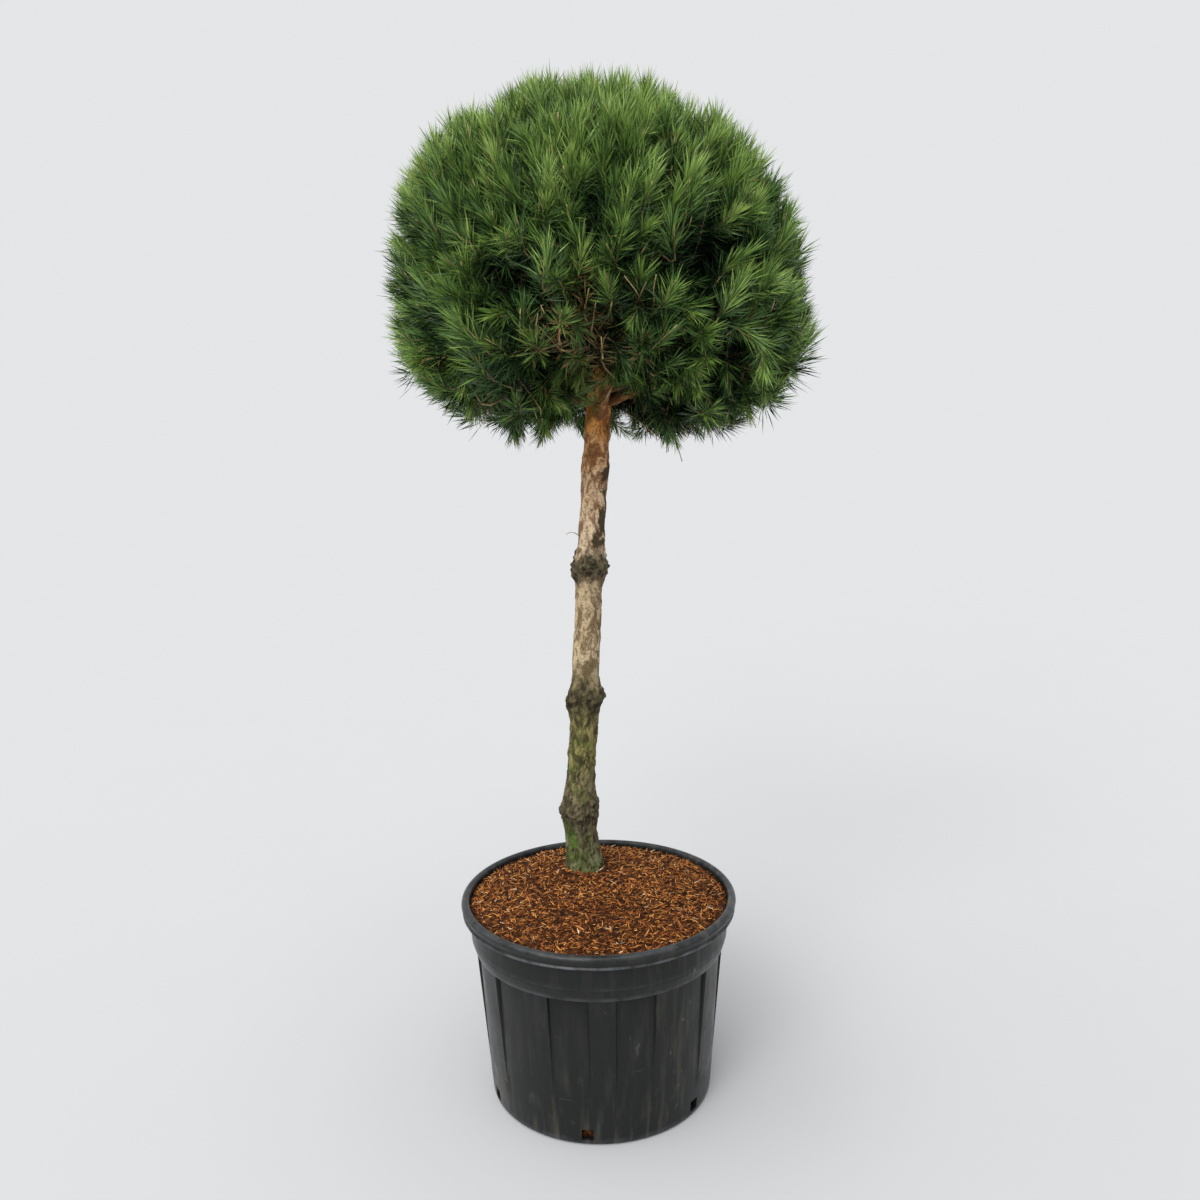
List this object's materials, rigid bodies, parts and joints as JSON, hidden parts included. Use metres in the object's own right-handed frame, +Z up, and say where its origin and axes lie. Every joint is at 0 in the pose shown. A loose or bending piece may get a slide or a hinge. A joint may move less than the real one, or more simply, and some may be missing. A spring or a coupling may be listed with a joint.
{
  "type": "standard lollipop pine topiary",
  "caption": "Clipped round-headed pine on a clear, knuckled, slightly leaning stem, growing in a round black nursery pot topped with bark mulch.",
  "frame": {"origin": "centre of the pot's flat underside", "axes": "+Z up along the stem, -Y the front, +X to the right when seen from the front"},
  "size_m": [0.8298, 0.8241, 2.065],
  "materials": {
    "pot_plastic": "satin black moulded plastic, dusty and scuffed",
    "potting_mix": "reddish brown shredded bark and fibre",
    "stem_bark": "flaking bark, grey-olive at the foot and orange-brown under the head",
    "bough_bark": "thin orange-brown bark",
    "needles": "green needles, slightly glossy"
  },
  "bodies": {
    "root": {"pot": "pot_plastic", "potting_mix": "potting_mix", "stem": "stem_bark", "foliage_top": "needles", "foliage_upper_1": "needles", "foliage_upper_2": "needles", "foliage_upper_3": "needles", "foliage_upper_4": "needles", "foliage_upper_5": "needles", "foliage_lower_1": "needles", "foliage_lower_2": "needles", "foliage_lower_3": "needles", "foliage_lower_4": "needles", "foliage_lower_5": "needles", "foliage_lower_6": "needles", "bough_upper_1": "bough_bark", "bough_upper_2": "bough_bark", "bough_upper_3": "bough_bark", "bough_upper_4": "bough_bark", "bough_upper_5": "bough_bark", "bough_lower_1": "bough_bark", "bough_lower_2": "bough_bark", "bough_lower_3": "bough_bark", "bough_lower_4": "bough_bark", "bough_lower_5": "bough_bark", "bough_lower_6": "bough_bark"}
  },
  "joints": []
}
